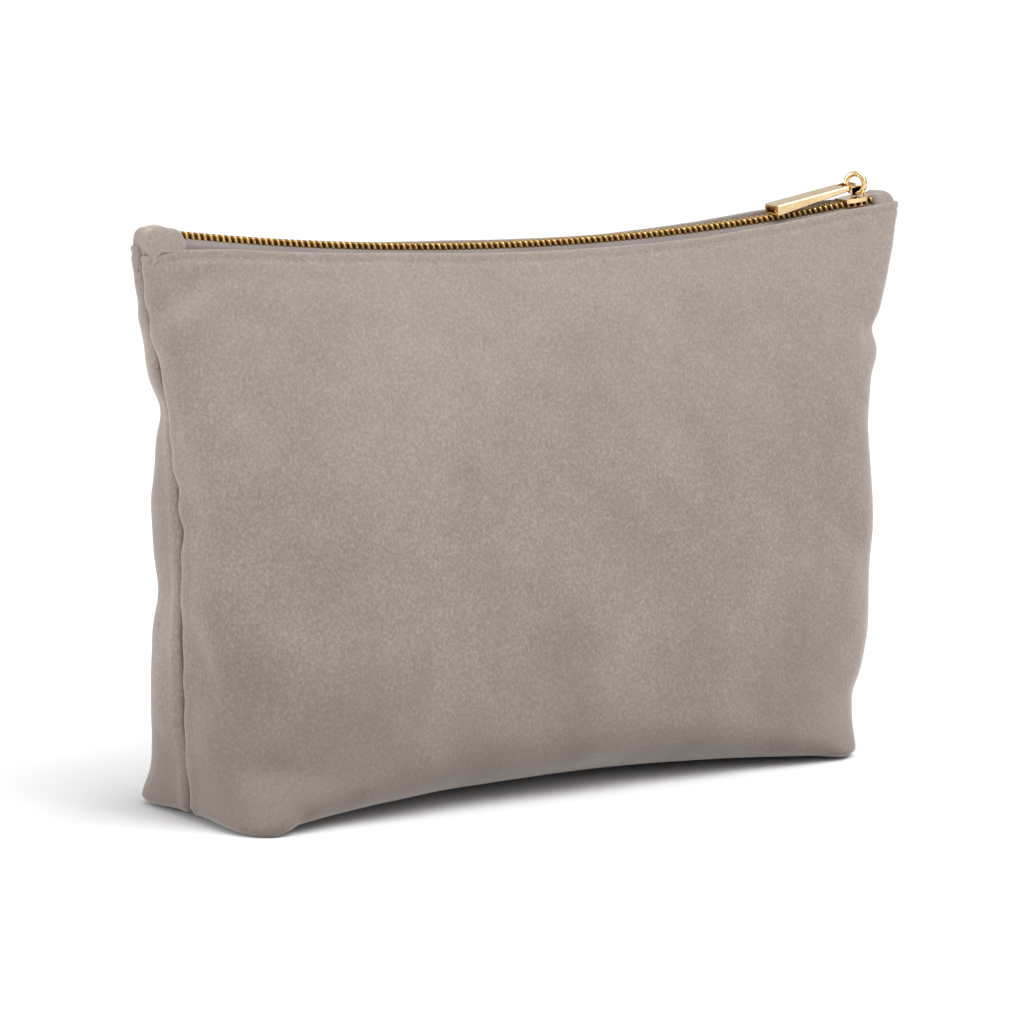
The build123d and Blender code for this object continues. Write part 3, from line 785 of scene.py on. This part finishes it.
def ring_piece():
    """The ring: a torus of round wire with a faint joint, at the CAD ring's place."""
    joint = JOINTS["pull_swing"]
    middle, through = Vector(joint["pos_m"]), Vector(joint["axis"]).normalized()
    turn = through.to_track_quat("Z", "Y").to_matrix().to_4x4()
    made = bmesh.new()
    around, section = 96, 24
    radius, wire = RING_RADIUS * MM, RING_WIRE * MM
    rings = []
    for step in range(around):
        angle = 2 * math.pi * step / around
        joint_cut = 1 - 0.07 * math.exp(-((step - 30) / 0.8) ** 2)
        ring = []
        for part in range(section):
            bend = 2 * math.pi * part / section
            reach = radius + wire * joint_cut * math.cos(bend)
            rise = wire * joint_cut * math.sin(bend)
            point = Vector((reach * math.cos(angle), reach * math.sin(angle), rise))
            ring.append(made.verts.new(middle + (turn @ point)))
        rings.append(ring)
    for step in range(around):
        first, second = rings[step], rings[(step + 1) % around]
        for part in range(section):
            after = (part + 1) % section
            made.faces.new((first[part], second[part], second[after], first[after]))
    bmesh.ops.recalc_face_normals(made, faces=made.faces)
    return piece_from_bmesh("ring_wire", made)


finish_piece(ring_piece(), GOLD_MATERIAL, "ring", "polished_gold", "pull_ring")


# End tabs

def end_tab(name, end):
    """A strip of velvet folded over the end of the zip, rolling down the end of the bag."""
    outer = abs(WALLS[-1][-1, 0 if end < 0 else -1, 0])
    # along the zip from the tab's own middle, and up from the chain's middle
    profile = np.array([(-5.2, -3.4), (-5.6, -2.2), (-5.5, -1.0), (-4.9, -0.1), (-3.9, 0.4), (-2.4, 0.75),
                        (-0.6, 1.0), (1.2, 1.05), (3.0, 0.85), (4.6, 0.3), (5.8, -0.7), (6.5, -2.0),
                        (6.7, -3.6), (6.4, -5.4), (5.6, -7.2), (4.4, -8.8)])
    shorter = 1.0 if end < 0 else 0.62
    middle = outer - 6.0 if end < 0 else outer - 4.4
    across = np.array([-1, -0.97, -0.9, -0.8, -0.68, -0.54, -0.38, -0.2, 0,
                       0.2, 0.38, 0.54, 0.68, 0.8, 0.9, 0.97, 1])
    grid = np.zeros((len(across), len(profile), 3))
    for row, share in enumerate(across):
        side_turn = smooth_step(abs(share), 0.62, 1.0)
        for column, (run, lift) in enumerate(profile):
            narrow = smooth_step(-lift, 3.0, 9.5)
            width = 6.5 - 3.4 * narrow
            rounded = math.copysign(0.8 + 0.75 * (abs(share) - 0.8), share)
            shoulder = width * (share if abs(share) < 0.8 else rounded)
            crease = -0.4 * math.exp(-(((run + 3.0) / 0.55) ** 2)) * (lift > 0)
            pillow = 0.5 * (1 - share**2) * (lift > -3)
            wobble = 0.25 * math.sin(3.1 * share + 0.9 * run) + 0.18 * math.sin(5.3 * share - 1.3 * run)
            drop = 7.0 * side_turn * (1 - narrow)
            x = middle + shorter * run - 1.2 * side_turn * (run > 4) + 0.8 * side_turn * (run < -4)
            grid[row, column] = (end * x, shoulder,
                                 float(chain_height(end * x)) + lift + pillow + crease + wobble - drop)
    piece = mesh_from_grid(name, grid, flip=end > 0)
    piece.modifiers.new("smooth", "SUBSURF").levels = 2
    applied(piece)
    return thicken(piece, TAB_SHEET)


for name, end in (("left", -1), ("right", 1)):
    tab = end_tab(f"{name}_tab_velvet", end)
    finish_piece(tab, VELVET_MATERIAL, "bag", "velvet", f"{name}_end_tab")


# Threads

def stitch_part(length, radius):
    """One stitch as a rounded length of thread that dips at both ends. It runs along X."""
    rings = []
    for share in (-1, -0.92, -0.75, -0.45, 0, 0.45, 0.75, 0.92, 1):
        wide = radius * math.sqrt(max(0.04, 1 - abs(share) ** 6))
        dip = -0.55 * radius * share**4
        x = share * length / 2
        turns = [2 * math.pi * step / 8 for step in range(8)]
        rings.append([(x, wide * math.cos(turn), wide * math.sin(turn) + dip) for turn in turns])
    return lofted(rings)


def placed(points, at, along, out):
    """Points with their X along one direction and their Z along another, moved to a place."""
    along = along / np.linalg.norm(along)
    out = out - along * (out @ along)
    out /= np.linalg.norm(out)
    return points @ np.array([along, np.cross(out, along), out]) + at


for name, side in (("front", -1), ("back", 1)):
    grid = WALLS[side]
    normal = grid_normals(grid, side)
    below = chain_height(grid[..., 0]) - fold_drop(grid[..., 0], side) - grid[..., 2]
    line, outs = [], []
    for column in range(grid.shape[1]):
        depth = below[:, column][::-1]
        line.append([np.interp(STITCH_BELOW_FOLD, depth, grid[::-1, column, k]) for k in range(3)])
        outs.append([np.interp(STITCH_BELOW_FOLD, depth, normal[::-1, column, k]) for k in range(3)])
    line, outs = np.array(line), np.array(outs)
    inner = np.abs(line[:, 0]) < 143
    line, outs = line[inner], outs[inner]
    count = int(2 * (CHAIN_HALF_LENGTH - 4) / STITCH_PITCH)
    points, faces = stitch_part(STITCH_PITCH * 0.72, 0.20)
    spots = []
    for number in range(count):
        x = (number - (count - 1) / 2) * STITCH_PITCH
        at = np.array([np.interp(x, line[:, 0], line[:, k]) for k in range(3)])
        after = np.array([np.interp(x + 1, line[:, 0], line[:, k]) for k in range(3)])
        out = np.array([np.interp(x, line[:, 0], outs[:, k]) for k in range(3)])
        spots.append(lambda p, at=at, along=after - at, out=out: placed(p, at - out * STITCH_SINK, along, out))
    stitches = many(f"{name}_topstitch_thread", points, faces, spots)
    finish_piece(stitches, THREAD_MATERIAL, "bag", "thread", f"{name}_topstitch")

for name, end in (("left", -1), ("right", 1)):
    outer = abs(WALLS[-1][-1, 0 if end < 0 else -1, 0])
    points, faces = stitch_part(2.3, 0.24)
    spots = []
    for number in range(-1, 2):
        x = end * (outer - 9.0)
        lift = 0.72 + 0.5 * (1 - (number * TAB_STITCH_STEP / 6.5) ** 2) - 0.4
        at = np.array([x, number * TAB_STITCH_STEP, float(chain_height(x)) + lift + 0.1])
        spots.append(lambda p, at=at: placed(p, at, np.array([0, 1.0, 0]), np.array([0, 0, 1.0])))
    stitches = many(f"{name}_tab_thread", points, faces, spots)
    finish_piece(stitches, THREAD_MATERIAL, "bag", "thread", f"{name}_tab_stitch")

for node in ("left_side_seam", "right_side_seam", "left_corner_seam", "right_corner_seam", "base_seam"):
    NODES[node].data.materials.clear()
    NODES[node].data.materials.append(THREAD_MATERIAL)


# Studio

def floor_material():
    n = Nodes("studio_floor")
    patch = n.noise(n.coordinates(), 3.0, 3.0)
    pale = n.mix(n.spread(patch, 0.3, 0.7), (0.68, 0.68, 0.68, 1), (0.70, 0.70, 0.70, 1))
    return n.set(color=pale, roughness=0.9, specular=0.1)


made = bmesh.new()
bmesh.ops.create_grid(made, x_segments=8, y_segments=8, size=16.0)
floor = piece_from_bmesh("studio_floor", made)
floor.location.z = -0.0004
floor.data.materials.append(floor_material())

scene = bpy.context.scene
scene.view_settings.view_transform = "Standard"
world = bpy.data.worlds.new("studio")
scene.world = world
world.use_nodes = True
background = world.node_tree.nodes["Background"]
direction = world.node_tree.nodes.new("ShaderNodeTexCoord")
split = world.node_tree.nodes.new("ShaderNodeSeparateXYZ")
ramp = world.node_tree.nodes.new("ShaderNodeValToRGB")
ramp.color_ramp.elements[0].position = 0.0
ramp.color_ramp.elements[0].color = (0.62, 0.62, 0.64, 1)
ramp.color_ramp.elements[1].position = 0.75
ramp.color_ramp.elements[1].color = (1.0, 1.0, 1.0, 1)
world.node_tree.links.new(direction.outputs["Generated"], split.inputs["Vector"])
world.node_tree.links.new(split.outputs["Z"], ramp.inputs["Fac"])
world.node_tree.links.new(ramp.outputs["Color"], background.inputs["Color"])
background.inputs["Strength"].default_value = 0.95

TARGET = Vector((0, 0, 0.08))
CAMERA_AZIMUTH = 33.74  # degrees to the left of the front
CAMERA_PITCH = 8.73
CAMERA_DISTANCE = 1.898
CAMERA_LEFT = 0.0079
CAMERA_UP = 0.0087


def area_light(name, place, size, power):
    data = bpy.data.lights.new(name, "AREA")
    data.shape = "RECTANGLE"
    data.size, data.size_y = size
    data.energy = power
    lamp = bpy.data.objects.new(name, data)
    lamp.location = place
    lamp.rotation_euler = (TARGET - Vector(place)).to_track_quat("-Z", "Y").to_euler()
    scene.collection.objects.link(lamp)


sun = bpy.data.lights.new("sky_light", "SUN")
sun.energy = 2.7
sun.angle = math.radians(50)
sun_object = bpy.data.objects.new("sky_light", sun)
sun_object.rotation_euler = Vector((0.30, -0.42, 0.86)).to_track_quat("Z", "Y").to_euler()
scene.collection.objects.link(sun_object)
area_light("left_fill", (-1.5, 0.25, 0.45), (0.7, 0.7), 12.0)
area_light("front_strip", (0.35, -1.5, 0.75), (0.35, 0.9), 6.0)

azimuth, pitch = math.radians(CAMERA_AZIMUTH), math.radians(CAMERA_PITCH)
back = Vector((-math.sin(azimuth) * math.cos(pitch), -math.cos(azimuth) * math.cos(pitch), math.sin(pitch)))
right = Vector((math.cos(azimuth), -math.sin(azimuth), 0))
up = back.cross(right)
camera_data = bpy.data.cameras.new("camera")
camera_data.lens = 200
camera_data.sensor_width = 36
camera_data.clip_end = 50
camera = bpy.data.objects.new("camera", camera_data)
camera.location = TARGET + back * CAMERA_DISTANCE - right * CAMERA_LEFT + up * CAMERA_UP
camera.rotation_euler = back.to_track_quat("Z", "Y").to_euler()
scene.collection.objects.link(camera)
scene.camera = camera
